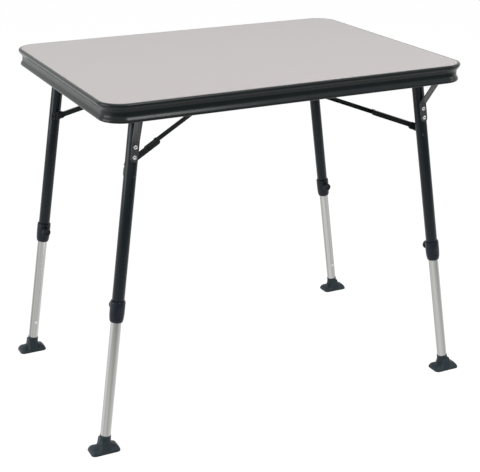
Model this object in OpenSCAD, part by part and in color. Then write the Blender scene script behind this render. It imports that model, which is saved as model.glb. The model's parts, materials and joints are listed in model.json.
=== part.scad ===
// Folding camping table with four telescopic legs.
// Frame: origin on the floor under the middle of the top, X along the long side, Y to the rear, +Z up.
// Every leg is drawn once, for the rear right corner, and mirrored to the other three.

/* [Table top] */
// Length of the top, rim included
table_w = 800; // [700:10:900]
// Depth of the top, rim included
table_d = 600; // [540:10:700]
// Height of the table surface with the legs fully out
table_h = 727.5; // [700:0.5:760]
// Radius of the top's corners at the outside of the rim
corner_r = 50; // [40:1:60]
// Thickness of the laminated board
board_t = 12; // [10:0.5:14]

/* [Rim] */
// Height of the rim from its lip to its lower edge
rim_h = 37.2; // [34:0.2:42]
// Width of the lip that shows around the board
lip_w = 6; // [5:0.5:8]
// How far the lip lies below the board's surface
lip_drop = 0.3; // [0:0.1:1]
// Radius of the nose at the outside of the lip
nose_r = 3.5; // [2.5:0.5:4]
// Depth of the hollow waist
waist_depth = 6.8; // [5:0.2:7.4]
// Depth below the lip where the waist is at its deepest
waist_top = 18; // [17:0.5:20]
// Height of the straight stretch of the waist
waist_flat = 6; // [3:0.5:8]
// How far the lower bead stands back from the nose
bead_inset = 2.6; // [1:0.2:4]
// Radius of the lower bead
bead_r = 3.2; // [2:0.2:4]
// Distance from the nose to the inner face of the skirt
skirt_in = 9.5; // [9:0.5:11]
// Thickness of the shelf that carries the board
shelf_t = 2.5; // [2:0.5:4]
// Distance from the nose to the inner edge of the shelf
shelf_in = 20; // [16:1:26]

/* [Leg placing] */
// Distance of the leg hinge from the short side
hinge_inset_x = 83.9; // [75:0.1:95]
// Distance of the leg hinge from the long side
hinge_inset_y = 67.4; // [60:0.1:76]
// Depth of the hinge pin below the board
hinge_drop = 25.5; // [23:0.5:32]
// Outward lean of the legs along the length of the top
splay_x = 8.4; // [5:0.1:10]
// Outward lean of the legs along the depth of the top
splay_y = 1.87; // [0.5:0.01:3]
// Angle between the plane in which a leg folds and the long side
fold_turn = 22; // [18:0.5:26]

/* [Leg tubes] */
// Outer diameter of the upper tube
upper_d = 25; // [23:0.5:27]
// Wall of the upper tube
upper_wall = 1.5; // [1:0.1:2]
// Length of the upper tube above the hinge pin
upper_over = 10.5; // [9.5:0.5:12]
// Outer diameter of the lower tube
lower_d = 21.4; // [20:0.1:21.6]
// Wall of the lower tube
lower_wall = 1.2; // [1:0.1:1.6]
// Height of the groove's stop above the end of the lower tube
stop_up = 40; // [30:1:60]
// Width of the groove along the lower tube
groove_w = 4; // [2:0.5:6]
// Depth of the groove along the lower tube
groove_depth = 0.6; // [0.3:0.1:0.8]
// Radius of the stop in the groove
stop_r = 3.4; // [2.5:0.1:4]

/* [Collar and knob] */
// Distance from the hinge pin to the top of the collar, along the leg
collar_down = 374; // [365:1:380]
// Length of the collar
collar_len = 44; // [40:1:50]
// How far the upper tube reaches into the collar
collar_grip = 28; // [24:1:32]
// Diameter of the collar
collar_d = 30.4; // [29:0.2:33]
// Wall of the collar at its lower mouth
mouth_wall = 1.6; // [1.2:0.1:2.5]
// Distance from the collar's top to the axis of the knob
knob_down = 16; // [12:0.5:20]
// Diameter of the knob
knob_d = 19; // [16:0.5:22]
// Thickness of the knob
knob_t = 6.5; // [4:0.5:9]
// Diameter of the clamp stem of the knob
stem_d = 6; // [5:0.5:8]
// Diameter of the boss that holds the stem
boss_d = 14; // [12:0.5:16]
// Length of the boss outside the collar
boss_len = 3; // [2:0.5:5]
// Distance between the grip grooves of the collar
grip_pitch = 5.5; // [4:0.5:6]
// Length of a grip groove
grip_len = 11; // [8:0.5:14]

/* [Strap] */
// Width of the strap
strap_w = 15; // [12:0.5:17]
// Thickness of the strap
strap_t = 2.5; // [2:0.1:3]
// Distance from the hinge pin to the bend of the strap, along the leg
strap_bend = 51; // [46:1:56]
// Distance from the bend to the upper rivet
strap_rivet = 11.5; // [10:0.5:14]
// Distance between the two rivets
rivet_pitch = 20; // [16:0.5:24]
// Length of the strap below the lower rivet
strap_end = 9.5; // [8:0.5:12]
// Height of the strap's upper knee above the rim's lower edge
strap_knee = 5; // [3:0.5:8]
// How far the strap's upper part leans out along the rim
strap_lean = 5.2; // [0:0.1:8]
// Gap between the strap and the skirt, which the strap's swing needs
strap_gap = 3; // [2.5:0.1:4]
// Head diameter of the hollow rivets
rivet_head = 8.4; // [7:0.2:10]
// Shank diameter of the hollow rivets
rivet_shank = 4.8; // [4:0.2:6]
// Hole through the hollow rivets
rivet_hole = 2.6; // [2:0.2:3]

/* [Brace] */
// Distance from the hinge pin to the middle of the brace lug, along the leg
brace_down = 115.5; // [110:0.5:120]
// Distance from the leg's axis to the middle of the brace channel
brace_side = 27; // [26:0.5:29]
// Distance from the leg's axis to the channel's pin, along the fold plane
lug_reach = 17; // [15:0.5:20]
// Height of the channel's pin above the middle of the lug
lug_rise = 5.9; // [4:0.1:8]
// Radius of the lug around the channel's pin
lug_eye = 8; // [6.5:0.5:9]
// Half the height of the lug where it leaves the tube
lug_half = 9.5; // [8:0.5:11]
// Width of the lug's base on the tube
lug_base = 11; // [9:0.5:12]
// Sheet thickness of the lug
lug_t = 2; // [1.5:0.1:2.5]
// Distance between the two rivets of the lug
lug_pitch = 10; // [9:0.5:12]
// Head diameter of the lug's rivets
lug_head = 5.6; // [5:0.1:6.5]
// Shank diameter of the lug's rivets
lug_shank = 3.2; // [3:0.1:4]
// Distance from the hinge pin to the anchor pin, along the fold plane
anchor_reach = 268; // [255:1:275]
// Depth of the anchor pin below the hinge pin
anchor_drop = 16; // [10:0.5:20]
// Length of the channel from its pin to its end
channel_len = 92; // [84:1:100]
// Depth of the channel
channel_h = 10.6; // [10.4:0.1:12]
// Width of the channel
channel_w = 6.5; // [6:0.5:9]
// Wall of the channel
channel_wall = 1.2; // [1:0.1:1.5]
// Radius of the lower corner at the channel's end
channel_end_r = 4; // [2:0.5:5]
// Length of the tab that rests on the strip
tab_len = 6; // [4:0.5:8]
// Depth of the strip
strip_h = 9.2; // [8.5:0.1:9.6]
// Thickness of the strip
strip_t = 3; // [2.5:0.5:4]
// Gap between the channel and the strip, which holds the flat rivet heads
link_gap = 2; // [1.8:0.1:3]

/* [Foot] */
// Length of the foot
foot_l = 62; // [56:1:68]
// Width of the foot
foot_w = 40; // [36:1:46]
// Radius of the foot's corners seen from above
foot_corner = 9; // [5:0.5:14]
// Height of the foot up to the tube
foot_h = 34; // [30:1:40]
// Height of the foot's two lobes beside the neck
lobe_h = 15; // [12:0.5:18]
// Height of the foot's rounded ends
lobe_end = 9; // [7:0.5:11]
// Width of the shoulder around the tube
foot_shoulder = 0.9; // [0.5:0.1:2]
// How far the neck spreads above the lobes
neck_spread = 2.5; // [1:0.5:4]
// Width of the web that runs down from the neck to the long edges
web_w = 17; // [12:0.5:20]
// Height of the web at the foot's long edges
web_edge = 5; // [3:0.5:8]
// Radius of the hollows between the web and the lobes
hollow_r = 8; // [5:0.5:9]
// Length of the spigot inside the tube
spigot_len = 25; // [15:1:35]

/* [Brackets and pins] */
// Sheet thickness of the hinge and anchor brackets
sheet_t = 2; // [1.5:0.5:3]
// Diameter of the hinge pins
pin_d = 8; // [6:0.5:9]
// Diameter of the channel's pins, the anchor pins and the knee rivets
small_pin_d = 5; // [4:0.5:5.5]
// Thickness of flat pin heads
head_t = 1.2; // [1:0.1:1.3]
// Length of the hinge bracket on the table's outer side of the pin
bracket_out = 20; // [18:1:24]
// Length of the hinge bracket on the inner side of the pin
bracket_in = 24; // [20:1:30]
// Width of the flange beside each cheek
flange_w = 7.5; // [7.5:0.5:8]
// Radius of the cheeks around the pin
cheek_r = 11; // [9:0.5:12]
// Shank diameter of the board screws
screw_d = 3.8; // [3:0.1:4]
// Head diameter of the board screws
screw_head = 6.5; // [6:0.1:7]
// Depth of the screws in the board
screw_depth = 8.5; // [6:0.5:9]
// Height of the screw heads
screw_crown = 2; // [1.5:0.1:2.5]
// Distance of the bracket screws from the bracket's ends
screw_edge = 6; // [5:0.5:7]
// Half the length of the anchor bracket's folded part
anchor_half = 15; // [12:1:20]
// Radius of the anchor bracket's ears around the pin
anchor_ear = 6.5; // [5.5:0.5:8]
// Depth of the anchor bracket's folded part
anchor_fold = 12; // [8:1:16]
// How much wider the heads of the small pins are than their shanks
small_head = 1.5; // [1:0.1:2]

/* [Clearances] */
// Radial clearance of a running fit
fit = 0.05; // [0.03:0.01:0.1]
// Gap between faces that move past each other
gap = 0.3; // [0.2:0.05:0.4]
// Gap between the upper tube and the bracket's cheeks
cheek_gap = 1; // [0.8:0.1:1.5]
// How far a cutting shape reaches past what it cuts
over_cut = 1; // [0.5:0.5:2]

/* [Hidden] */
$fn = 48;
HOLE_FN = 32;
CORNERS = [
    ["front_left", -1, -1],
    ["front_right", 1, -1],
    ["rear_left", -1, 1],
    ["rear_right", 1, 1]
];
LEG_NODES = [
    "leg_tube", "tube_plug", "leg_strap", "leg_rivets", "leg_collar", "clamp_knob", "lower_tube",
    "foot", "hinge_bracket", "brace_lug", "brace_channel", "brace_strip", "anchor_bracket"
];

stop_gap = 2;
plug_t = 1.5;
rivet_room = 6;
lug_room = 1.2;
rivet_tail = 1.5;
stop_out = 0.8;
web_top = 28;
pocket_depth = 3;

board_under = table_h - board_t;
rim_top = table_h - lip_drop;
rim_bottom = rim_top - rim_h;
shelf_bottom = board_under - shelf_t;
waist_end = waist_top + waist_flat;
bead_mid = rim_h - bead_r;

hinge_x = table_w / 2 - hinge_inset_x;
hinge_y = table_d / 2 - hinge_inset_y;
hinge_z = board_under - hinge_drop;

upper_r = upper_d / 2;
upper_bore = upper_r - upper_wall;
lower_r = lower_d / 2;
lower_bore = lower_r - lower_wall;
pin_r = pin_d / 2;
small_r = small_pin_d / 2;
screw_r = screw_d / 2;

// Direction of a leg: how much it runs to X, Y and down for each millimetre of its length
run_x = sin(splay_x) * cos(splay_y);
run_y = sin(splay_y);
run_z = cos(splay_x) * cos(splay_y);

// The same direction in the fold plane: along it, across it
run_along = -(run_x * cos(fold_turn) + run_y * sin(fold_turn));
run_across = run_x * sin(fold_turn) - run_y * cos(fold_turn);

// Lengths along the leg, measured from the hinge pin
leg_len = hinge_z / run_z;
shoulder_down = (hinge_z - foot_h) / run_z;
upper_len = collar_down + collar_grip;
collar_end = collar_down + collar_len;
knob_at = collar_down + knob_down;
stop_at = shoulder_down - stop_up;
slide_travel = stop_at - stop_r - stop_gap - collar_end;
lower_top = brace_down + lug_pitch / 2 + lug_shank / 2 + rivet_room + slide_travel;

// Brace pivots in the fold plane: X along the plane, Y up, both from the hinge pin
lug_mid = [run_along * brace_down, -run_z * brace_down];
brace_pivot = lug_mid + [lug_reach, lug_rise];
anchor_pivot = [anchor_reach, -anchor_drop];
brace_span = norm(anchor_pivot - brace_pivot);
brace_angle = atan2(anchor_pivot[1] - brace_pivot[1], anchor_pivot[0] - brace_pivot[0]);
folded_span = norm(anchor_pivot) - norm(brace_pivot);
knee = (brace_span - folded_span) / 2;

// Places across the fold plane, measured from the hinge pin
channel_mid = run_across * brace_down + brace_side;
channel_near = channel_mid - channel_w / 2;
channel_far = channel_mid + channel_w / 2;
strip_near = channel_far + link_gap;
strip_far = strip_near + strip_t;
cheek_in = upper_r + cheek_gap;
cheek_out = cheek_in + sheet_t;
ear_near = strip_near - head_t - gap;
ear_far = strip_far + head_t + gap;
channel_low = -strip_h / 2;
channel_top = channel_h + channel_low;
tube_side = run_across * brace_down;
tube_lean = atan2(run_along, run_z);
lug_seat = tube_side + upper_r - lug_t / 4;
lug_face = lug_seat + lug_t;
lug_ear = channel_near - gap - lug_t;

// Strap: the bend on the leg, and the upper knee inside the skirt
strap_mid = upper_r + strap_t / 2;
bend_x = hinge_x + run_x * strap_bend;
bend_y = hinge_y + run_y * strap_bend + strap_mid * cos(splay_y);
bend_z = hinge_z - run_z * strap_bend + strap_mid * sin(splay_y);
knee_y = table_d / 2 - skirt_in - strap_gap - strap_t / 2;
knee_z = rim_bottom + strap_knee;
strap_tilt = atan2(knee_y - bend_y, knee_z - bend_z);
strap_rise = norm([knee_y - bend_y, knee_z - bend_z]);
strap_top = shelf_bottom - gap;

// Points on an arc about a centre, both ends included
function arc(centre, r, from, to, steps) = [
    for (i = [0:steps])
        let (turn = from + (to - from) * i / steps)
            centre + r * [cos(turn), sin(turn)]
];

// Points of a soft step between two places, without its ends
function soft_step(from, to, steps) = [
    for (i = [1:steps - 1])
        let (share = (1 - cos(180 * i / steps)) / 2)
            [from[0] + (to[0] - from[0]) * share, from[1] + (to[1] - from[1]) * i / steps]
];

// Rim section: X is the distance inwards from the nose, Y is the height above the rim's lip
rim_section = concat(
    [[lip_w, 0]],
    arc([nose_r, -nose_r], nose_r, 90, 180, 6),
    soft_step([0, -nose_r], [waist_depth, -waist_top], 10),
    [[waist_depth, -waist_top], [waist_depth, -waist_end]],
    soft_step([waist_depth, -waist_end], [bead_inset, -bead_mid], 7),
    arc([bead_inset + bead_r, -bead_mid], bead_r, 180, 270, 6),
    [
        [skirt_in, -rim_h],
        [skirt_in, shelf_bottom - rim_top],
        [shelf_in, shelf_bottom - rim_top],
        [shelf_in, board_under - rim_top],
        [lip_w, board_under - rim_top]
    ]
);

// Draws its children in the corner that the signs name
module at_corner(corner) {
    mirror([corner[1] < 0 ? 1 : 0, 0, 0])
        mirror([0, corner[2] < 0 ? 1 : 0, 0])
            children();
}

// Frame of a leg: origin on the hinge pin, +Z up along the leg, +Y to the long side
module on_leg() {
    translate([hinge_x, hinge_y, hinge_z])
        rotate([splay_y, -splay_x, 0])
            children();
}

// Frame of a fold plane: origin on the hinge pin, +X inwards along the plane, +Y across, +Z up
module on_fold() {
    translate([hinge_x, hinge_y, hinge_z])
        rotate([0, 0, 180 + fold_turn])
            children();
}

// Frame of a brace: origin on the brace pin, +X towards the anchor pin, +Y across the fold plane
module on_brace() {
    on_fold()
        translate([brace_pivot[0], 0, brace_pivot[1]])
            rotate([0, -brace_angle, 0])
                children();
}

// Extrudes a flat shape of X and Z along Y
module plate(from, to) {
    translate([0, to, 0])
        rotate([90, 0, 0])
            linear_extrude(to - from)
                children();
}

// A round bar along Y
module bar(r, from, to, fn = HOLE_FN) {
    translate([0, to, 0])
        rotate([90, 0, 0])
            cylinder(h = to - from, r = r, $fn = fn);
}

// Outline of the top, set in from the nose
module top_outline(inset) {
    r = corner_r - inset;
    w = table_w / 2 - corner_r;
    d = table_d / 2 - corner_r;
    union() {
        square([2 * (w + r), 2 * d], center = true);
        square([2 * w, 2 * (d + r)], center = true);
        for (x = [-w, w], y = [-d, d])
            translate([x, y])
                circle(r, $fn = 64);
    }
}

// Calls its children at each screw of a hinge bracket
module at_hinge_screws() {
    for (x = [-bracket_out + screw_edge, bracket_in - screw_edge], y = [-1, 1])
        translate([x, y * (cheek_out + flange_w / 2), 0])
            children();
}

// Calls its children at each screw of an anchor bracket
module at_anchor_screws() {
    for (x = [-anchor_half - screw_edge, anchor_half + screw_edge])
        translate([anchor_reach + x, (ear_near + ear_far) / 2, 0])
            children();
}

// Calls its children at every screw, with the board's underside at height 0
module at_screws() {
    for (corner = CORNERS)
        at_corner(corner)
            on_fold()
                translate([0, 0, hinge_drop]) {
                    at_hinge_screws() children();
                    at_anchor_screws() children();
                }
}

module table_board() {
    color([0.8, 0.78, 0.77])
        difference() {
            translate([0, 0, board_under])
                linear_extrude(board_t)
                    top_outline(lip_w);
            at_screws()
                translate([0, 0, -over_cut])
                    cylinder(h = screw_depth + over_cut, r = screw_r, $fn = 16);
        }
}

// One straight stretch and one corner of the rim
module rim_quarter(length, offset) {
    translate([offset[0], offset[1], 0]) {
        rotate([90, 0, 0])
            linear_extrude(length)
                polygon([for (p = rim_section) [corner_r - p[0], rim_top + p[1]]]);
        rotate_extrude(angle = 90, $fn = 64)
            polygon([for (p = rim_section) [corner_r - p[0], rim_top + p[1]]]);
    }
}

module edge_rim() {
    w = table_w - 2 * corner_r;
    d = table_d - 2 * corner_r;
    color([0.2, 0.22, 0.23])
        union()
            for (turn = [0:3])
                rotate([0, 0, 90 * turn])
                    rim_quarter(turn % 2 == 0 ? d : w, turn % 2 == 0 ? [w / 2, d / 2] : [d / 2, w / 2]);
}

module board_screws() {
    color([0.7, 0.7, 0.72])
        at_screws() {
            translate([0, 0, -sheet_t])
                cylinder(h = screw_depth + sheet_t, r = screw_r, $fn = 16);
            translate([0, 0, -sheet_t - screw_crown])
                cylinder(h = screw_crown, r = screw_head / 2, $fn = 24);
        }
}

// A pin with a flat head at each end
module headed_pin(r, head_r, from, to) {
    bar(r, from, to);
    bar(head_r, from - head_t, from);
    bar(head_r, to, to + head_t);
}

module hinge_pins() {
    color([0.7, 0.7, 0.72])
        for (corner = CORNERS)
            at_corner(corner)
                on_fold()
                    headed_pin(pin_r, pin_r + small_head, -cheek_out, cheek_out);
}

module anchor_pins() {
    color([0.7, 0.7, 0.72])
        for (corner = CORNERS)
            at_corner(corner)
                on_fold()
                    translate([anchor_pivot[0], 0, anchor_pivot[1]]) {
                        headed_pin(small_r, small_r + small_head, ear_near - sheet_t, ear_far + sheet_t);
                        bar(small_r + small_head, ear_near, strip_near - gap);
                        bar(small_r + small_head, strip_far + gap, ear_far);
                    }
}

// Upper tube, with holes for the hinge pin, the rivets and the clamp stem
module leg_tube() {
    color([0.18, 0.2, 0.22])
        difference() {
            on_leg()
                difference() {
                    translate([0, 0, -upper_len])
                        cylinder(h = upper_len + upper_over, r = upper_r, $fn = 64);
                    translate([0, 0, -upper_len - over_cut])
                        cylinder(h = upper_len + upper_over + 2 * over_cut, r = upper_bore, $fn = 64);
                    for (i = [0:1])
                        translate([0, 0, -strap_bend - strap_rivet - i * rivet_pitch])
                            bar(rivet_shank / 2, 0, upper_d);
                    translate([0, 0, -knob_at])
                        bar(stem_d / 2 + gap, -upper_d, 0);
                }
            on_fold()
                bar(pin_r + fit, -upper_d, upper_d);
            at_lug_rivet(-1)
                bar(lug_shank / 2, tube_side, lug_face);
            at_lug_rivet(1)
                bar(lug_shank / 2, -upper_d, lug_face);
        }
}

module tube_plug() {
    color([0.1, 0.1, 0.11])
        on_leg() {
            translate([0, 0, upper_over])
                cylinder(h = plug_t, r = upper_r, $fn = 64);
            translate([0, 0, pin_r + over_cut])
                cylinder(h = upper_over - pin_r - over_cut, r = upper_bore, $fn = 64);
        }
}

// Flat outline of the strap's riveted part: straight, with a round lower end
module strap_leaf() {
    drop = strap_rivet + rivet_pitch + strap_end - strap_w / 2;
    translate([-strap_w / 2, -drop])
        square([strap_w, drop]);
    translate([0, -drop])
        circle(strap_w / 2);
}

// Round bend across the strap
module strap_fold() {
    rotate([0, 90, 0])
        cylinder(h = strap_w, r = strap_t / 2, center = true, $fn = 24);
}

module leg_strap() {
    knee_x = bend_x + strap_rise * tan(strap_lean);
    color([0.24, 0.26, 0.27])
        difference() {
            union() {
                on_leg()
                    translate([0, 0, -strap_bend])
                        plate(upper_r, upper_r + strap_t)
                            strap_leaf();
                translate([bend_x, bend_y, bend_z]) {
                    rotate([0, -splay_x / 2, 0])
                        strap_fold();
                    rotate([-strap_tilt, 0, 0])
                        rotate([0, strap_lean, 0])
                            translate([-strap_w / 2, -strap_t / 2, 0])
                                cube([strap_w, strap_t, strap_rise / cos(strap_lean)]);
                }
                translate([knee_x, knee_y, knee_z]) {
                    rotate([0, strap_lean, 0])
                        strap_fold();
                    translate([-strap_w / 2, -strap_t / 2, 0])
                        cube([strap_w, strap_t, strap_top - knee_z]);
                }
            }
            on_leg()
                for (i = [0:1])
                    translate([0, 0, -strap_bend - strap_rivet - i * rivet_pitch])
                        bar(rivet_shank / 2, 0, upper_d);
        }
}

// Rivets of a leg: two hollow ones on the strap, two small ones on the brace lug
module leg_rivets() {
    face = upper_r + strap_t;
    lug_heads = tube_side - upper_r - head_t + lug_t / 4;
    color([0.75, 0.76, 0.78]) {
        on_leg()
            for (i = [0:1])
                translate([0, 0, -strap_bend - strap_rivet - i * rivet_pitch])
                    difference() {
                        union() {
                            bar(rivet_shank / 2, upper_bore - rivet_tail, face);
                            bar(rivet_head / 2, face, face + head_t);
                        }
                        bar(rivet_hole / 2, upper_bore - rivet_tail - over_cut, face + head_t + over_cut);
                    }
        at_lug_rivet(-1) {
            bar(lug_shank / 2, tube_side + upper_bore - rivet_tail, lug_face);
            bar(lug_head / 2, lug_face, lug_face + head_t);
        }
        at_lug_rivet(1) {
            bar(lug_shank / 2, lug_heads, lug_face);
            bar(lug_head / 2, lug_face, lug_face + head_t);
        }
        difference() {
            at_lug_rivet(1)
                bar(lug_head / 2, lug_heads, tube_side);
            tube_space();
        }
    }
}

// Places its children at the upper (-1) or lower (1) rivet of the brace lug
module at_lug_rivet(side) {
    down = brace_down + side * lug_pitch / 2;
    on_fold()
        translate([run_along * down, 0, -run_z * down])
            children();
}

// The space that the upper tube fills around the brace lug
module tube_space() {
    on_leg()
        translate([0, 0, -brace_down - 2 * upper_d])
            cylinder(h = 4 * upper_d, r = upper_r, $fn = 64);
}

// Half section of the collar, without the boss: X is the radius, Y is along the leg
collar_r = collar_d / 2;
mouth_r = lower_r + mouth_wall;
collar_bevel = 1.2;
lip_depth = 0.5;
lip_edge = 0.7;
lip_foot = 2.4;
lip_end = 4;
collar_straight = 0.45;
grip_r = 1.1;
grip_out = 0.4;
grip_step = 0.35;
collar_section = concat(
    [
        [upper_r, 0],
        [collar_r - collar_bevel, 0],
        [collar_r - lip_depth, -lip_edge],
        [collar_r - lip_depth, -lip_foot],
        [collar_r, -lip_end]
    ],
    [
        for (i = [0:8])
            let (turn = 90 * i / 8, fall = collar_straight + (1 - collar_straight) * sin(turn))
                [mouth_r + (collar_r - mouth_r) * cos(turn), -collar_len * fall]
    ],
    [
        [lower_r + fit, -collar_len],
        [lower_r + fit, -collar_grip],
        [upper_r, -collar_grip]
    ]
);

module leg_collar() {
    color([0.1, 0.12, 0.16])
        on_leg()
            difference() {
                union() {
                    translate([0, 0, -collar_down])
                        rotate_extrude($fn = 64)
                            polygon(collar_section);
                    difference() {
                        translate([0, 0, -knob_at])
                            bar(boss_d / 2, -collar_r - boss_len, 0, 48);
                        translate([0, 0, -collar_end])
                            cylinder(h = collar_len, r = upper_r, $fn = 64);
                    }
                }
                translate([0, 0, -knob_at])
                    bar(stem_d / 2 + fit, -collar_r - boss_len - over_cut, 0);
                for (i = [0:2])
                    translate([
                        0,
                        collar_r + grip_out - i * grip_step,
                        -collar_down - collar_len / 2 - i * grip_pitch
                    ])
                        rotate([0, 90, 0])
                            cylinder(h = grip_len, r = grip_r, center = true, $fn = 24);
            }
}

// Round clamp knob with its stem, on the inner side of the collar
knob_edge = 0.8;
knob_round = 1.6;
knob_dish = knob_d / 4;

module clamp_knob() {
    seat = collar_r + boss_len + gap;
    color([0.09, 0.1, 0.12])
        on_leg()
            translate([0, -seat, -knob_at])
                rotate([90, 0, 0]) {
                    rotate_extrude($fn = 48)
                        polygon(concat(
                            [[0, 0], [knob_d / 2 - knob_edge, 0], [knob_d / 2, knob_edge]],
                            arc([knob_d / 2 - knob_round, knob_t - knob_round], knob_round, 0, 90, 4),
                            [[knob_dish + knob_edge, knob_t]],
                            [[knob_dish, knob_t - knob_edge], [0, knob_t - knob_edge]]
                        ));
                    translate([0, 0, -(seat - lower_r - gap)])
                        cylinder(h = seat - lower_r - gap, r = stem_d / 2, $fn = HOLE_FN);
                }
}

// Lower tube, with a groove on its inner side and a round stop in the groove
module lower_tube() {
    color([0.8, 0.8, 0.81])
        on_leg() {
            difference() {
                translate([0, 0, -shoulder_down])
                    cylinder(h = shoulder_down - lower_top, r = lower_r, $fn = 64);
                translate([0, 0, -shoulder_down - over_cut])
                    cylinder(h = shoulder_down - lower_top + 2 * over_cut, r = lower_bore, $fn = 64);
                translate([-groove_w / 2, -lower_r - over_cut, -stop_at])
                    cube([groove_w, over_cut + groove_depth, stop_at - lower_top + over_cut]);
            }
            difference() {
                translate([0, 0, -stop_at])
                    bar(stop_r, -lower_r - stop_out, 0);
                translate([0, 0, -stop_at - 2 * stop_r])
                    cylinder(h = 4 * stop_r, r = lower_bore, $fn = 64);
            }
        }
}

// Side view of the lobes: highest beside the neck, falling to a rounded end
module lobe_view(size, middle) {
    half = size / 2;
    polygon(concat(
        [[half, 0]],
        arc([half - lobe_end, 0], lobe_end, 0, 60, 6),
        [[middle, lobe_h], [-middle, lobe_h]],
        arc([lobe_end - half, 0], lobe_end, 120, 180, 6)
    ));
}

// Side view of the web: from the neck down to the foot's long edges
module web_view(neck_r) {
    polygon([
        [foot_w / 2, 0],
        [foot_w / 2, web_edge],
        [neck_r, web_top],
        [-neck_r, web_top],
        [-foot_w / 2, web_edge],
        [-foot_w / 2, 0]
    ]);
}

// Neck below the tube: straight under the shoulder, then spreading to the lobes
module foot_neck(neck_r) {
    drop = foot_h - lobe_h / 2;
    rotate_extrude($fn = 48)
        polygon(concat(
            [[0, 0]],
            [
                for (i = [0:6])
                    let (turn = 90 * i / 6)
                        [neck_r + neck_spread * (1 - cos(turn)), -drop * i / 6]
            ],
            [[0, -drop]]
        ));
}

// Rubber foot: two lobes along the top's length, a web across them and a neck that holds the tube
module foot() {
    centre_x = hinge_x + run_x * leg_len;
    centre_y = hinge_y + run_y * leg_len;
    neck_r = lower_r + foot_shoulder;
    color([0.16, 0.19, 0.22])
        union() {
            translate([centre_x, centre_y, 0])
                difference() {
                    intersection() {
                        plate(-foot_w / 2, foot_w / 2)
                            lobe_view(foot_l, neck_r);
                        rotate([0, 0, 90])
                            plate(-foot_l / 2, foot_l / 2)
                                lobe_view(foot_w, web_w / 2);
                        linear_extrude(foot_h)
                            foot_plan();
                    }
                    for (x = [-1, 1], y = [-1, 1])
                        translate([x * (web_w / 2 + hollow_r), y * foot_w / 2, lobe_h + pocket_depth])
                            sphere(hollow_r);
                }
            translate([centre_x, centre_y, 0])
                intersection() {
                    rotate([0, 0, 90])
                        plate(-web_w / 2, web_w / 2)
                            web_view(neck_r);
                    linear_extrude(foot_h)
                        foot_plan();
                }
            on_leg()
                translate([0, 0, -shoulder_down])
                    foot_neck(neck_r);
            on_leg()
                translate([0, 0, -shoulder_down])
                    cylinder(h = spigot_len, r = lower_bore, $fn = 64);
        }
}

// Plan of the foot: a rectangle with round corners
module foot_plan() {
    x = foot_l / 2 - foot_corner;
    y = foot_w / 2 - foot_corner;
    square([foot_l, 2 * y], center = true);
    square([2 * x, foot_w], center = true);
    for (a = [-x, x], b = [-y, y])
        translate([a, b])
            circle(foot_corner);
}

// Cheek of the hinge bracket: round about the pin, straight up to the board
module cheek_view() {
    circle(cheek_r);
    translate([-cheek_r, 0])
        square([2 * cheek_r, hinge_drop]);
}

module hinge_bracket() {
    plate_half = cheek_out + flange_w;
    color([0.3, 0.31, 0.33])
        on_fold()
            difference() {
                union() {
                    translate([-bracket_out, -plate_half, hinge_drop - sheet_t])
                        cube([bracket_out + bracket_in, 2 * plate_half, sheet_t]);
                    plate(cheek_in, cheek_out)
                        cheek_view();
                    plate(-cheek_out, -cheek_in)
                        cheek_view();
                }
                bar(pin_r, -plate_half, plate_half);
                translate([0, 0, hinge_drop - sheet_t - over_cut])
                    at_hinge_screws()
                        cylinder(h = sheet_t + 2 * over_cut, r = screw_r, $fn = 16);
            }
}

// Side view of the brace lug: a base along the tube, and an eye at the channel's pin
module lug_view() {
    translate(lug_mid)
        rotate(tube_lean) {
            square([lug_base, lug_pitch], center = true);
            for (y = [-1, 1])
                translate([0, y * lug_pitch / 2])
                    circle(lug_base / 2);
        }
    translate(brace_pivot)
        circle(lug_eye);
    polygon([
        lug_mid + [0, lug_half],
        lug_mid - [0, lug_half],
        brace_pivot - [0, lug_eye],
        brace_pivot + [0, lug_eye]
    ]);
}

// Plan of the brace lug: flat on the tube, then cranked out to the channel
module lug_plan() {
    crank = lug_head / 2 + lug_room;
    ear = lug_reach - lug_eye;
    translate([lug_mid[0], 0])
        polygon([
            [-lug_base, lug_seat],
            [-lug_base, lug_face],
            [crank, lug_face],
            [ear, lug_ear + lug_t],
            [lug_reach + lug_base, lug_ear + lug_t],
            [lug_reach + lug_base, lug_ear],
            [ear + lug_room, lug_ear],
            [crank + lug_room, lug_seat]
        ]);
}

// Cranked lug on the tube, with the stud that carries the channel
module brace_lug() {
    color([0.13, 0.15, 0.16])
        difference() {
            union() {
                on_fold()
                    intersection() {
                        translate([0, 0, lug_mid[1] - 2 * upper_d])
                            linear_extrude(4 * upper_d)
                                lug_plan();
                        plate(0, lug_ear + lug_t + over_cut)
                            lug_view();
                    }
                on_fold()
                    translate([brace_pivot[0], 0, brace_pivot[1]]) {
                        bar(small_r, lug_ear, channel_far + gap / 2);
                        bar(small_r + small_head, channel_far + gap / 2, channel_far + gap / 2 + head_t);
                    }
            }
            tube_space();
            for (side = [-1, 1])
                at_lug_rivet(side)
                    bar(lug_shank / 2, 0, lug_face + over_cut);
        }
}

// Side view of the channel, with a round end about its pin
module channel_view() {
    translate([0, channel_low + channel_h / 2])
        circle(channel_h / 2);
    translate([0, channel_low])
        square([channel_len - channel_end_r, channel_h]);
    translate([0, channel_low + channel_end_r])
        square([channel_len, channel_h - channel_end_r]);
    translate([channel_len - channel_end_r, channel_low + channel_end_r])
        circle(channel_end_r);
}

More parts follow.
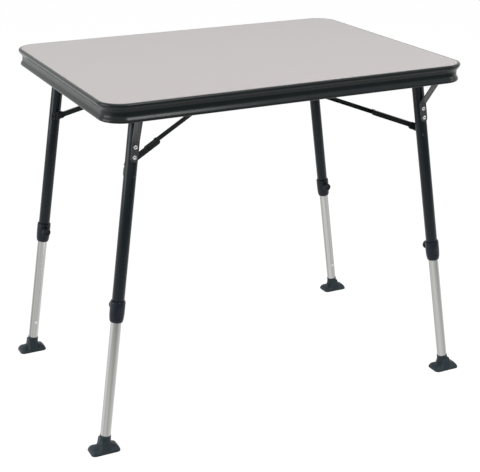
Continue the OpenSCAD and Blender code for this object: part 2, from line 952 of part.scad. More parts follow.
// Lower link of the brace: open below, with a stop tab that rests on the strip
module brace_channel() {
    web_start = small_r + small_head + gap;
    tab_low = strip_h / 2 + gap;
    color([0.13, 0.15, 0.16])
        on_brace()
            difference() {
                union() {
                    plate(channel_near, channel_near + channel_wall)
                        channel_view();
                    plate(channel_far - channel_wall, channel_far)
                        channel_view();
                    translate([web_start, channel_near, channel_top - channel_wall])
                        cube([channel_len - web_start, channel_w, channel_wall]);
                    translate([channel_len - tab_len, channel_far - channel_wall, tab_low])
                        cube([tab_len, strip_far - channel_far + channel_wall, channel_top - tab_low]);
                    translate([knee, 0, 0]) {
                        bar(small_r, channel_near, channel_far);
                        bar(small_r + small_head, channel_near - head_t, channel_near);
                        bar(small_r + small_head, channel_far, channel_far + link_gap / 2 - gap / 2);
                    }
                }
                bar(small_r + fit, channel_near - over_cut, channel_far + over_cut);
            }
}

// Upper link of the brace: a flat strip with its half of the knee rivet
module brace_strip() {
    color([0.13, 0.15, 0.16])
        on_brace()
            difference() {
                union() {
                    plate(strip_near, strip_far) {
                        translate([knee, -strip_h / 2])
                            square([brace_span - knee, strip_h]);
                        translate([knee, 0])
                            circle(strip_h / 2);
                        translate([brace_span, 0])
                            circle(strip_h / 2);
                    }
                    translate([knee, 0, 0]) {
                        bar(small_r + small_head, channel_far + link_gap / 2 + gap / 2, strip_near);
                        bar(small_r + small_head, strip_far, strip_far + head_t);
                    }
                }
                translate([brace_span, 0, 0])
                    bar(small_r + fit, strip_near - over_cut, strip_far + over_cut);
            }
}

// Ear of the anchor bracket: round about the pin, straight up to the board
module ear_view() {
    circle(anchor_ear);
    translate([-anchor_ear, 0])
        square([2 * anchor_ear, hinge_drop + anchor_drop]);
    translate([-anchor_half, hinge_drop + anchor_drop - anchor_fold])
        square([2 * anchor_half, anchor_fold]);
}

module anchor_bracket() {
    plate_len = 2 * (anchor_half + 2 * screw_edge);
    color([0.3, 0.31, 0.33])
        on_fold()
            difference() {
                translate([anchor_pivot[0], 0, anchor_pivot[1]])
                    union() {
                        translate([-plate_len / 2, ear_near - sheet_t, hinge_drop + anchor_drop - sheet_t])
                            cube([plate_len, ear_far - ear_near + 2 * sheet_t, sheet_t]);
                        plate(ear_near - sheet_t, ear_near)
                            ear_view();
                        plate(ear_far, ear_far + sheet_t)
                            ear_view();
                    }
                translate([anchor_pivot[0], 0, anchor_pivot[1]])
                    bar(small_r, ear_near - sheet_t - over_cut, ear_far + sheet_t + over_cut);
                translate([0, 0, hinge_drop - sheet_t - over_cut])
                    at_anchor_screws()
                        cylinder(h = sheet_t + 2 * over_cut, r = screw_r, $fn = 16);
            }
}

// Draws one named piece of a leg
module leg_piece(part) {
    if (part == "leg_tube") leg_tube();
    if (part == "tube_plug") tube_plug();
    if (part == "leg_strap") leg_strap();
    if (part == "leg_rivets") leg_rivets();
    if (part == "leg_collar") leg_collar();
    if (part == "clamp_knob") clamp_knob();
    if (part == "lower_tube") lower_tube();
    if (part == "foot") foot();
    if (part == "hinge_bracket") hinge_bracket();
    if (part == "brace_lug") brace_lug();
    if (part == "brace_channel") brace_channel();
    if (part == "brace_strip") brace_strip();
    if (part == "anchor_bracket") anchor_bracket();
}

table_board();
edge_rim();
board_screws();
hinge_pins();
anchor_pins();
for (part = LEG_NODES, corner = CORNERS)
    at_corner(corner) leg_piece(part);
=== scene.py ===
"""Folding camping table: fine shapes, finishes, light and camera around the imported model."""
import json
import logging
from dataclasses import dataclass, field
from enum import Enum
from math import cos, dist, exp, hypot, pi, radians, sin
from typing import Callable, Iterable, Sequence

import bmesh
import bpy
from mathutils import Matrix, Vector

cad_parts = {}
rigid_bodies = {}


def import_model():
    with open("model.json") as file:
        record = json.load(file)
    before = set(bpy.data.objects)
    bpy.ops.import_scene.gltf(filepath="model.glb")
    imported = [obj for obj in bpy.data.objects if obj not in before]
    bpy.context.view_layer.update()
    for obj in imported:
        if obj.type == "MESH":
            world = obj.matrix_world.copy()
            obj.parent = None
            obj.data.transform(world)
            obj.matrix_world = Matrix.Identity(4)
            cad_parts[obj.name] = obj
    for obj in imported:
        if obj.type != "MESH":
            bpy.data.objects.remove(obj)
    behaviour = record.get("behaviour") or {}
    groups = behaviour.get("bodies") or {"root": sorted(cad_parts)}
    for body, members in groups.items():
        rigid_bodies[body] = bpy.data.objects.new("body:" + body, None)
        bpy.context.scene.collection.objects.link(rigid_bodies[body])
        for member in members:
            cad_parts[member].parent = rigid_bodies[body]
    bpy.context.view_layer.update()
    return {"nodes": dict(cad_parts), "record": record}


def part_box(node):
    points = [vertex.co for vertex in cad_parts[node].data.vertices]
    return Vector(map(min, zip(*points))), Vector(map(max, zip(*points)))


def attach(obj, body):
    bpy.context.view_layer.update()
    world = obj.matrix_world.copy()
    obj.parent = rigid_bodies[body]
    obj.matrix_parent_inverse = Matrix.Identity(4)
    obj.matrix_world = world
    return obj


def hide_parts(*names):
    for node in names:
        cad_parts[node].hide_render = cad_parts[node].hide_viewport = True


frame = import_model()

MM = 0.001
WELD = 0.01 * MM
LOG = logging.getLogger("camping_table")
JOINTS = {joint["name"]: joint for joint in frame["record"]["behaviour"]["joints"]}

Point = tuple[float, float, float]
Profile = list[tuple[float, float]]


class Corner(Enum):
    """A corner of the table, with the signs of its X and Y."""

    FRONT_LEFT = (-1, -1)
    FRONT_RIGHT = (1, -1)
    REAR_LEFT = (-1, 1)
    REAR_RIGHT = (1, 1)

    @property
    def tag(self) -> str:
        """The corner's name as the nodes and joints spell it."""
        return self.name.lower()

    @property
    def hand(self) -> int:
        """1 where the corner's frame is right-handed, -1 where it is mirrored."""
        return self.value[0] * self.value[1]


class Grain(Enum):
    """How the fine relief of a finish runs."""

    EVEN = "even"
    ALONG_UV = "along_uv"


def shader(
    tree: bpy.types.NodeTree, kind: str, sockets: dict[str | int, object], **settings: object,
) -> bpy.types.Node:
    """Adds a node to a material or to the world.

    Args:
        tree: The node tree.
        kind: The node's type, without the ShaderNode in front.
        sockets: For each input, a value or the socket that feeds it.
        settings: The node's properties, set first.

    Returns:
        The node.
    """
    node = tree.nodes.new(f"ShaderNode{kind}")
    for name, setting in settings.items():
        setattr(node, name, setting)
    for name, given in sockets.items():
        if isinstance(given, bpy.types.NodeSocket):
            tree.links.new(given, node.inputs[name])
        else:
            node.inputs[name].default_value = given
    return node


@dataclass(frozen=True)
class Finish:
    """A surface finish, built as a procedural material.

    Colours are linear. The relief and the mottling read object coordinates, or the piece's own
    UV map where the grain runs along a tube; on bare aluminium the mottling paints dark streaks
    along the tube, partly extrusion lines and partly painted reflection. A contrast over 1 parts
    the two colours more sharply.
    """

    name: str
    colour: Point
    second_colour: Point
    roughness: float
    roughness_spread: float = 0.05
    metallic: float = 0.0
    specular: float = 0.5
    mottle_scale: float = 60.0
    contrast: float = 1.0
    grain_scale: float = 900.0
    grain_depth: float = 0.00004
    grain: Grain = Grain.EVEN
    grain_stretch: float = 40.0

    def build(self) -> bpy.types.Material:
        """Builds the material once.

        Returns:
            The material, from this file's data if it was built before.
        """
        name = f"{self.name}_dressed"
        found = bpy.data.materials.get(name)
        if found:
            return found
        material = bpy.data.materials.new(name)
        material.use_nodes = True
        tree = material.node_tree
        tree.nodes.clear()
        along = self.grain is Grain.ALONG_UV
        stretch = (1.0, 1.0 / self.grain_stretch, 1.0) if along else (1.0, 1.0, 1.0)
        start = shader(tree, "TexCoord", {}).outputs["UV" if along else "Object"]
        spot = shader(tree, "Mapping", {"Vector": start, "Scale": stretch}).outputs["Vector"]
        # The mottling noise; on bare aluminium its dark streaks are partly extrusion lines and partly painted
        # reflection.
        mottle_and_painted_reflection = shader(tree, "TexNoise", {
            "Vector": spot, "Scale": self.mottle_scale, "Detail": 4.0,
        }).outputs["Fac"]
        share = shader(tree, "MapRange", {
            "Value": mottle_and_painted_reflection, "From Min": 0.5 - 0.5 / self.contrast, "From Max": 0.5 + 0.5 / self.contrast,
        }).outputs["Result"]
        colour = shader(tree, "Mix", {
            "Factor": share, "A": (*self.colour, 1.0), "B": (*self.second_colour, 1.0),
        }, data_type="RGBA").outputs["Result"]
        roughness = shader(tree, "MapRange", {
            "Value": mottle_and_painted_reflection, "To Min": self.roughness - self.roughness_spread,
            "To Max": self.roughness + self.roughness_spread,
        }).outputs["Result"]
        grain = shader(tree, "TexNoise", {"Vector": spot, "Scale": self.grain_scale, "Detail": 2.0})
        relief = shader(tree, "Bump", {"Distance": self.grain_depth, "Height": grain.outputs["Fac"]})
        surface = shader(tree, "BsdfPrincipled", {
            "Base Color": colour, "Roughness": roughness, "Normal": relief.outputs["Normal"],
            "Metallic": self.metallic, "Specular IOR Level": self.specular,
        })
        shader(tree, "OutputMaterial", {"Surface": surface.outputs["BSDF"]})
        return material


LAMINATE = Finish(
    "laminate", (0.585, 0.553, 0.545), (0.560, 0.530, 0.522), 0.45, mottle_scale=220.0,
    grain_scale=1500.0, grain_depth=0.00002, specular=0.2,
)
RIM_PLASTIC = Finish(
    "rim_plastic", (0.005, 0.009, 0.009), (0.008, 0.013, 0.013), 0.24, grain_scale=1400.0,
    grain_depth=0.00002, specular=0.24,
)
TUBE_PAINT = Finish(
    "tube_paint", (0.006, 0.011, 0.014), (0.009, 0.015, 0.019), 0.24, grain_scale=1100.0,
    grain_depth=0.00002, specular=0.2,
)
STRAP_PAINT = Finish(
    "strap_paint", (0.050, 0.056, 0.054), (0.064, 0.069, 0.066), 0.40, grain_scale=1100.0,
    specular=0.25,
)
BRACE_PAINT = Finish(
    "brace_paint", (0.008, 0.011, 0.012), (0.012, 0.016, 0.017), 0.30, grain_scale=1100.0,
    specular=0.16,
)
BRACKET_PAINT = Finish(
    "bracket_paint", (0.020, 0.021, 0.023), (0.028, 0.029, 0.031), 0.40, grain_scale=1100.0,
    specular=0.25,
)
# Bare aluminium: the low base colour and the dark second colour in streaks along the tube are partly painted
# reflection of dark surroundings and partly extrusion lines.
ALUMINIUM = Finish(
    "bare_aluminium", (0.60, 0.60, 0.59), (0.26, 0.26, 0.255), 0.20, roughness_spread=0.05,
    metallic=1.0, mottle_scale=7.0, contrast=2.5, grain_scale=420.0, grain_depth=0.00003,
    grain=Grain.ALONG_UV,
)
COLLAR_PLASTIC = Finish(
    "collar_plastic", (0.008, 0.012, 0.020), (0.011, 0.015, 0.025), 0.28, grain_scale=1600.0,
    specular=0.2,
)
KNOB_PLASTIC = Finish(
    "knob_plastic", (0.007, 0.009, 0.012), (0.010, 0.012, 0.016), 0.30, grain_scale=1600.0,
    specular=0.2,
)
FOOT_RUBBER = Finish(
    "foot_rubber", (0.020, 0.031, 0.038), (0.027, 0.039, 0.047), 0.45, mottle_scale=90.0,
    grain_scale=1000.0, grain_depth=0.00008, specular=0.2,
)
RIVET_STEEL = Finish(
    "rivet_steel", (0.72, 0.72, 0.74), (0.60, 0.60, 0.62), 0.25, metallic=1.0, grain_scale=1500.0,
)
ZINC = Finish(
    "zinc", (0.42, 0.42, 0.44), (0.32, 0.32, 0.34), 0.38, metallic=1.0, mottle_scale=140.0,
)
PLUG_PLASTIC = Finish("plug_plastic", (0.010, 0.010, 0.011), (0.016, 0.016, 0.017), 0.5)


def arc(centre: tuple[float, float], radius: float, start: float, end: float, steps: int) -> Profile:
    """Points on an arc, both ends included.

    Args:
        centre: The arc's centre.
        radius: Its radius.
        start: The first angle in degrees.
        end: The last angle in degrees.
        steps: How many chords it has.

    Returns:
        The points in order.
    """
    angles = [radians(start + (end - start) * i / steps) for i in range(steps + 1)]
    return [(centre[0] + radius * cos(a), centre[1] + radius * sin(a)) for a in angles]


def soft_step(start: tuple[float, float], end: tuple[float, float], steps: int) -> Profile:
    """Points of a soft S-shaped step, without its ends.

    Args:
        start: The place where the step begins.
        end: The place where it ends.
        steps: How many stretches it has.

    Returns:
        The points in order.
    """
    out = []
    for i in range(1, steps):
        share = (1 - cos(pi * i / steps)) / 2
        out.append((start[0] + (end[0] - start[0]) * share, start[1] + (end[1] - start[1]) * i / steps))
    return out


def new_mesh(name: str, mesh: bmesh.types.BMesh, finish: Finish, sharp: float = 40.0) -> bpy.types.Object:
    """Turns a bmesh into a dressed object at the origin.

    Args:
        name: The piece's name.
        mesh: Its faces, in place; it is freed.
        finish: The finish for all of it.
        sharp: Edges that turn by more than this many degrees stay sharp.

    Returns:
        The object, linked to the scene.
    """
    data = bpy.data.meshes.new(name)
    mesh.to_mesh(data)
    mesh.free()
    data.shade_smooth()
    data.set_sharp_from_angle(angle=radians(sharp))
    data.materials.append(finish.build())
    piece = bpy.data.objects.new(name, data)
    bpy.context.scene.collection.objects.link(piece)
    return piece


def place(mesh: bmesh.types.BMesh, matrix: Matrix) -> bmesh.types.BMesh:
    """Moves a bmesh by a matrix and turns its faces back out if the matrix mirrors.

    Args:
        mesh: The mesh to move.
        matrix: Where it goes.

    Returns:
        The same mesh.
    """
    bmesh.ops.transform(mesh, matrix=matrix, verts=mesh.verts)
    if matrix.to_3x3().determinant() < 0:
        bmesh.ops.reverse_faces(mesh, faces=mesh.faces)
    return mesh


def join(parts: Iterable[bmesh.types.BMesh]) -> bmesh.types.BMesh:
    """Joins several bmeshes into one.

    Args:
        parts: The meshes, which are freed.

    Returns:
        One mesh that holds them all.
    """
    whole = bmesh.new()
    for part in parts:
        data = bpy.data.meshes.new("part")
        part.to_mesh(data)
        part.free()
        whole.from_mesh(data)
        bpy.data.meshes.remove(data)
    return whole


def loft(rings: Sequence[Sequence[Point]], closed: bool = False) -> bmesh.types.BMesh:
    """Joins rings of equally many points into a closed skin.

    Args:
        rings: The rings in order; each runs counter-clockwise seen from the last one.
        closed: True where the last ring joins the first, as on a tube that has a bore.

    Returns:
        The skin, with a UV map that runs round the rings and along them.
    """
    mesh = bmesh.new()
    uv = mesh.loops.layers.uv.new("UVMap")
    rows = [[mesh.verts.new(p) for p in ring] for ring in rings]
    count, last = len(rows[0]), len(rows) - (0 if closed else 1)
    for i in range(last):
        low, high = rows[i], rows[(i + 1) % len(rows)]
        for j in range(count):
            k = (j + 1) % count
            face = mesh.faces.new((low[j], low[k], high[k], high[j]))
            heights = (low[j].co.z, low[k].co.z, high[k].co.z, high[j].co.z)
            for loop, share, height in zip(face.loops, (j, j + 1, j + 1, j), heights):
                loop[uv].uv = (share / count, height)
    if not closed:
        mesh.faces.new(list(reversed(rows[0])))
        mesh.faces.new(rows[-1])
    return mesh


def lathe(profile: Profile, steps: int = 72, closed: bool = False) -> bmesh.types.BMesh:
    """Turns a profile about the Z axis.

    Args:
        profile: Radius and height pairs, from the bottom to the top on the outside.
        steps: How many sides a full turn has.
        closed: True where the profile comes back to its start round a bore.

    Returns:
        The turned skin.
    """
    turns = [2 * pi * i / steps for i in range(steps)]
    return loft([[(r * cos(a), r * sin(a), z) for a in turns] for r, z in profile], closed)


def tube_profile(outer: float, bore: float, low: float, high: float, soft: float) -> Profile:
    """Profile of a tube with softened rims.

    Args:
        outer: Its outer radius.
        bore: The radius of its bore.
        low: Its lower end.
        high: Its upper end.
        soft: How much the outer rims are rounded.

    Returns:
        The closed profile.
    """
    return [
        (bore, low), (outer - soft, low), (outer - soft * 0.3, low + soft * 0.3), (outer, low + soft),
        (outer, high - soft), (outer - soft * 0.3, high - soft * 0.3), (outer - soft, high), (bore, high),
    ]


def dressed_copy(node: str, finish: Finish, bevel: float = 0.4 * MM, sharp: float = 35.0) -> bpy.types.Object:
    """Makes a welded, softly bevelled copy of a node that has the right shape already.

    Args:
        node: The node's name.
        finish: Its finish.
        bevel: Width of the bevel on its edges in metres.
        sharp: Edges that turn by more than this many degrees are bevelled.

    Returns:
        The copy, not yet on its body.
    """
    mesh = bmesh.new()
    mesh.from_mesh(frame["nodes"][node].data)
    bmesh.ops.remove_doubles(mesh, verts=mesh.verts, dist=WELD)
    bmesh.ops.dissolve_limit(mesh, angle_limit=radians(1), verts=mesh.verts, edges=mesh.edges)
    piece = new_mesh(f"{node}_dressed", mesh, finish, sharp)
    soft = piece.modifiers.new("bevel", "BEVEL")
    soft.width = bevel
    soft.segments = 2
    soft.limit_method = "ANGLE"
    soft.angle_limit = radians(sharp)
    soft.harden_normals = True
    return piece


def settle(piece: bpy.types.Object, body: str, slot: str, *nodes: str) -> None:
    """Puts a piece on its body and hides the nodes that it replaces.

    Args:
        piece: The finished piece.
        body: The body that it rides on.
        slot: The record's material slot; not used.
        nodes: The nodes that it replaces.
    """
    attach(piece, body)
    if nodes:
        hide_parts(*nodes)
    LOG.info("%s rides on %s, %d faces", piece.name, body, len(piece.data.polygons))


class NodeTree:
    """A geometry node tree with named inputs, built in code."""

    def __init__(self, name: str) -> None:
        """Starts an empty tree.

        Args:
            name: The tree's name.
        """
        self.group = bpy.data.node_groups.new(name, "GeometryNodeTree")
        self.group.interface.new_socket("Geometry", in_out="INPUT", socket_type="NodeSocketGeometry")
        self.group.interface.new_socket("Geometry", in_out="OUTPUT", socket_type="NodeSocketGeometry")
        self.start = self.group.nodes.new("NodeGroupInput")
        self.end = self.group.nodes.new("NodeGroupOutput")
        self.ids: dict[str, str] = {}

    def value(self, name: str, kind: str) -> None:
        """Adds a named input of that socket kind."""
        socket = self.group.interface.new_socket(name, in_out="INPUT", socket_type=kind)
        self.ids[name] = socket.identifier

    def node(self, kind: str, **settings: object) -> bpy.types.Node:
        """Adds a node and sets its properties."""
        made = self.group.nodes.new(kind)
        for key, setting in settings.items():
            setattr(made, key, setting)
        return made

    def link(self, start: bpy.types.NodeSocket, end: bpy.types.NodeSocket) -> None:
        """Links two sockets."""
        self.group.links.new(start, end)

    def close(self, geometry: bpy.types.NodeSocket) -> None:
        """Ends the tree in Realize Instances and Set Material.

        Args:
            geometry: The socket that holds the made shape.
        """
        real = self.node("GeometryNodeRealizeInstances")
        paint = self.node("GeometryNodeSetMaterial")
        self.link(geometry, real.inputs["Geometry"])
        self.link(real.outputs["Geometry"], paint.inputs["Geometry"])
        self.link(self.start.outputs["Material"], paint.inputs["Material"])
        self.link(paint.outputs["Geometry"], self.end.inputs["Geometry"])

    def run(self, carrier: bpy.types.Mesh, values: dict[str, object]) -> bpy.types.Mesh:
        """Evaluates the tree on a mesh.

        Args:
            carrier: The mesh that the tree starts from.
            values: The value of each named input.

        Returns:
            The result as a plain mesh.
        """
        holder = bpy.data.objects.new("carrier", carrier)
        bpy.context.scene.collection.objects.link(holder)
        modifier = holder.modifiers.new("nodes", "NODES")
        modifier.node_group = self.group
        for name, setting in values.items():
            modifier[self.ids[name]] = setting
        bpy.context.view_layer.update()
        seen = holder.evaluated_get(bpy.context.evaluated_depsgraph_get())
        made = bpy.data.meshes.new_from_object(seen)
        bpy.data.objects.remove(holder)
        return made


def scatter_tree() -> NodeTree:
    """A tree that sets a copy of one object on each vertex, turned by the vertex's own normal.

    Returns:
        The tree, with the inputs Fastener and Material.
    """
    tree = NodeTree("fasteners_on_points")
    tree.value("Fastener", "NodeSocketObject")
    tree.value("Material", "NodeSocketMaterial")
    info = tree.node("GeometryNodeObjectInfo")
    put = tree.node("GeometryNodeInstanceOnPoints")
    turn = tree.node("FunctionNodeAlignRotationToVector")
    facing = tree.node("GeometryNodeInputNamedAttribute", data_type="FLOAT_VECTOR")
    facing.inputs["Name"].default_value = "facing"
    turn.axis = "Z"
    tree.link(tree.start.outputs["Fastener"], info.inputs["Object"])
    tree.link(tree.start.outputs["Geometry"], put.inputs["Points"])
    tree.link(info.outputs["Geometry"], put.inputs["Instance"])
    tree.link(facing.outputs["Attribute"], turn.inputs["Vector"])
    tree.link(turn.outputs["Rotation"], put.inputs["Rotation"])
    tree.close(put.outputs["Instances"])
    return tree


def sweep_tree() -> NodeTree:
    """A tree that sweeps a section round a rectangle with round corners.

    Returns:
        The tree, with the inputs Section, Width, Depth, Corner, Steps and Material.
    """
    tree = NodeTree("section_round_outline")
    tree.value("Section", "NodeSocketObject")
    for size in ("Width", "Depth", "Corner"):
        tree.value(size, "NodeSocketFloat")
    tree.value("Steps", "NodeSocketInt")
    tree.value("Material", "NodeSocketMaterial")
    outline = tree.node("GeometryNodeCurvePrimitiveQuadrilateral")
    tree.link(tree.start.outputs["Width"], outline.inputs["Width"])
    tree.link(tree.start.outputs["Depth"], outline.inputs["Height"])
    fillet = tree.node("GeometryNodeFilletCurve")
    fillet.mode = "POLY"
    tree.link(outline.outputs["Curve"], fillet.inputs["Curve"])
    tree.link(tree.start.outputs["Corner"], fillet.inputs["Radius"])
    tree.link(tree.start.outputs["Steps"], fillet.inputs["Count"])
    upright = tree.node("GeometryNodeSetCurveNormal")
    upright.mode = "Z_UP"
    tree.link(fillet.outputs["Curve"], upright.inputs["Curve"])
    info = tree.node("GeometryNodeObjectInfo")
    tree.link(tree.start.outputs["Section"], info.inputs["Object"])
    section = tree.node("GeometryNodeMeshToCurve")
    tree.link(info.outputs["Geometry"], section.inputs["Mesh"])
    sweep = tree.node("GeometryNodeCurveToMesh")
    tree.link(upright.outputs["Curve"], sweep.inputs["Curve"])
    tree.link(section.outputs["Curve"], sweep.inputs["Profile Curve"])
    tree.close(sweep.outputs["Mesh"])
    return tree


def scatter(
    name: str, fastener: bmesh.types.BMesh, places: Sequence[tuple[Vector, Vector]], finish: Finish,
) -> bpy.types.Object:
    """Sets copies of a fastener at several places by geometry nodes.

    Args:
        name: The piece's name.
        fastener: One fastener along Z, freed afterwards.
        places: Where each copy stands, and which way its Z axis faces.
        finish: The finish for all copies.

    Returns:
        The copies as one object.
    """
    model = new_mesh(f"{name}_model", fastener, finish)
    spots = bpy.data.meshes.new(f"{name}_spots")
    spots.from_pydata([tuple(spot) for spot, _ in places], [], [])
    facing = spots.attributes.new("facing", "FLOAT_VECTOR", "POINT")
    for i, (_, way) in enumerate(places):
        facing.data[i].vector = tuple(way)
    made = SCATTER.run(spots, {"Fastener": model, "Material": finish.build()})
    bpy.data.objects.remove(model)
    made.set_sharp_from_angle(angle=radians(40))
    piece = bpy.data.objects.new(name, made)
    bpy.context.scene.collection.objects.link(piece)
    return piece


SCATTER = scatter_tree()
SWEEP = sweep_tree()


@dataclass
class TableTop:
    """The laminated board, its rim and the hardware under it. Sizes are in metres."""

    corner: float = 50 * MM
    lip_width: float = 6 * MM
    nose: float = 3.5 * MM
    waist_depth: float = 6.8 * MM
    waist_top: float = 18 * MM
    waist_end: float = 24 * MM
    bead_inset: float = 2.6 * MM
    bead: float = 3.2 * MM
    skirt_in: float = 9.5 * MM
    shelf_in: float = 20 * MM
    shelf: float = 2.5 * MM
    board_soft: float = 0.5 * MM
    corner_steps: int = 24
    screw_head: float = 3.25 * MM
    screw_head_high: float = 2 * MM
    pin_soft: float = 0.3 * MM
    low: Vector = field(default_factory=lambda: Vector(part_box("edge_rim")[0]))
    high: Vector = field(default_factory=lambda: Vector(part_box("edge_rim")[1]))

    def section(self) -> Profile:
        """The rim's section: distance outwards from the nose line, and height.

        Returns:
            The closed outline, outer side first.
        """
        top, height = self.high.z, self.high.z - self.low.z
        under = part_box("table_board")[0][2] - top
        bead_mid = -height + self.bead
        shape = [
            (self.lip_width, 0.0),
            *arc((self.nose, -self.nose), self.nose, 90, 180, 10),
            *soft_step((0.0, -self.nose), (self.waist_depth, -self.waist_top), 18),
            (self.waist_depth, -self.waist_top),
            (self.waist_depth, -self.waist_end),
            *soft_step((self.waist_depth, -self.waist_end), (self.bead_inset, bead_mid), 12),
            *arc((self.bead_inset + self.bead, bead_mid), self.bead, 180, 270, 10),
            (self.skirt_in - self.board_soft, -height),
            (self.skirt_in, -height + self.board_soft),
            (self.skirt_in, under - self.shelf),
            (self.shelf_in, under - self.shelf),
            (self.shelf_in, under),
            (self.lip_width, under),
        ]
        return [(-inwards, top + drop) for inwards, drop in shape]

    def build_rim(self) -> None:
        """Sweeps the rim's section round the top."""
        points = self.section()
        flat = bpy.data.meshes.new("rim_section")
        edges = [(i, (i + 1) % len(points)) for i in range(len(points))]
        flat.from_pydata([(x, -z, 0.0) for x, z in points], edges, [])
        model = bpy.data.objects.new("rim_section", flat)
        bpy.context.scene.collection.objects.link(model)
        size = self.high - self.low
        made = SWEEP.run(bpy.data.meshes.new("empty"), {
            "Section": model, "Width": size.x, "Depth": size.y, "Corner": self.corner,
            "Steps": self.corner_steps, "Material": RIM_PLASTIC.build(),
        })
        bpy.data.objects.remove(model)
        mesh = bmesh.new()
        mesh.from_mesh(made)
        bmesh.ops.remove_doubles(mesh, verts=mesh.verts, dist=0.1 * WELD)
        bmesh.ops.recalc_face_normals(mesh, faces=mesh.faces)
        piece = new_mesh("rim", mesh, RIM_PLASTIC, 50)
        settle(piece, "top", "rim_plastic", "edge_rim")

    def build_board(self) -> None:
        """Builds the board as one slab with a softened upper edge."""
        low, high = (Vector(v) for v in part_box("table_board"))
        rings = []
        radius, soft = self.corner - self.lip_width, self.board_soft
        for inset, level in ((0.0, low.z), (0.0, high.z - soft), (0.3, high.z - 0.1 * soft), (1.0, high.z)):
            r = radius - inset * soft
            ring = []
            for turn, (x, y) in enumerate(((1, 1), (-1, 1), (-1, -1), (1, -1))):
                centre = (x * (high.x - radius), y * (high.y - radius))
                ring += [(px, py, level) for px, py in arc(centre, r, 90 * turn, 90 * turn + 90, 16)]
            rings.append(ring)
        piece = new_mesh("board", loft(rings), LAMINATE, 50)
        settle(piece, "top", "laminate", "table_board")

    def screw(self) -> bmesh.types.BMesh:
        """One pan-head screw with a round recess.

        Returns:
            The head, with its seat at height 0 and its crown along +Z.
        """
        r = self.screw_head
        return lathe([
            (r, 0.0), (r, 0.7 * MM), (r * 0.93, 1.25 * MM), (r * 0.78, 1.65 * MM), (r * 0.55, 1.9 * MM),
            (r * 0.5, 1.9 * MM), (r * 0.4, 1.1 * MM), (r * 0.05, 0.9 * MM),
        ], 24)

    def build_screws(self) -> None:
        """Sets the board screws below their brackets."""
        solid = bmesh.new()
        solid.from_mesh(frame["nodes"]["board_screws"].data)
        bmesh.ops.remove_doubles(solid, verts=solid.verts, dist=WELD)
        places = []
        seen = set()
        for vert in solid.verts:
            if vert in seen:
                continue
            island, todo = [], [vert]
            seen.add(vert)
            while todo:
                v = todo.pop()
                island.append(v.co.copy())
                for edge in v.link_edges:
                    other = edge.other_vert(v)
                    if other not in seen:
                        seen.add(other)
                        todo.append(other)
            low = min(p.z for p in island)
            x = (min(p.x for p in island) + max(p.x for p in island)) / 2
            y = (min(p.y for p in island) + max(p.y for p in island)) / 2
            places.append((Vector((x, y, low + self.screw_head_high)), Vector((0, 0, -1))))
        solid.free()
        piece = scatter("board_screw_heads", self.screw(), places, ZINC)
        settle(piece, "top", "zinc", "board_screws")

    def build_hardware(self) -> None:
        """Dresses the brackets and pins under the board."""
        for node in ("hinge_pins", "anchor_pins"):
            settle(dressed_copy(node, ZINC, self.pin_soft), "top", "zinc", node)
        for corner in Corner:
            for kind in ("hinge_bracket", "anchor_bracket"):
                node = f"{kind}_{corner.tag}"
                settle(dressed_copy(node, BRACKET_PAINT), "top", "bracket_paint", node)

    def build(self) -> None:
        """Builds the whole top."""
        self.build_board()
        self.build_rim()
        self.build_screws()
        self.build_hardware()


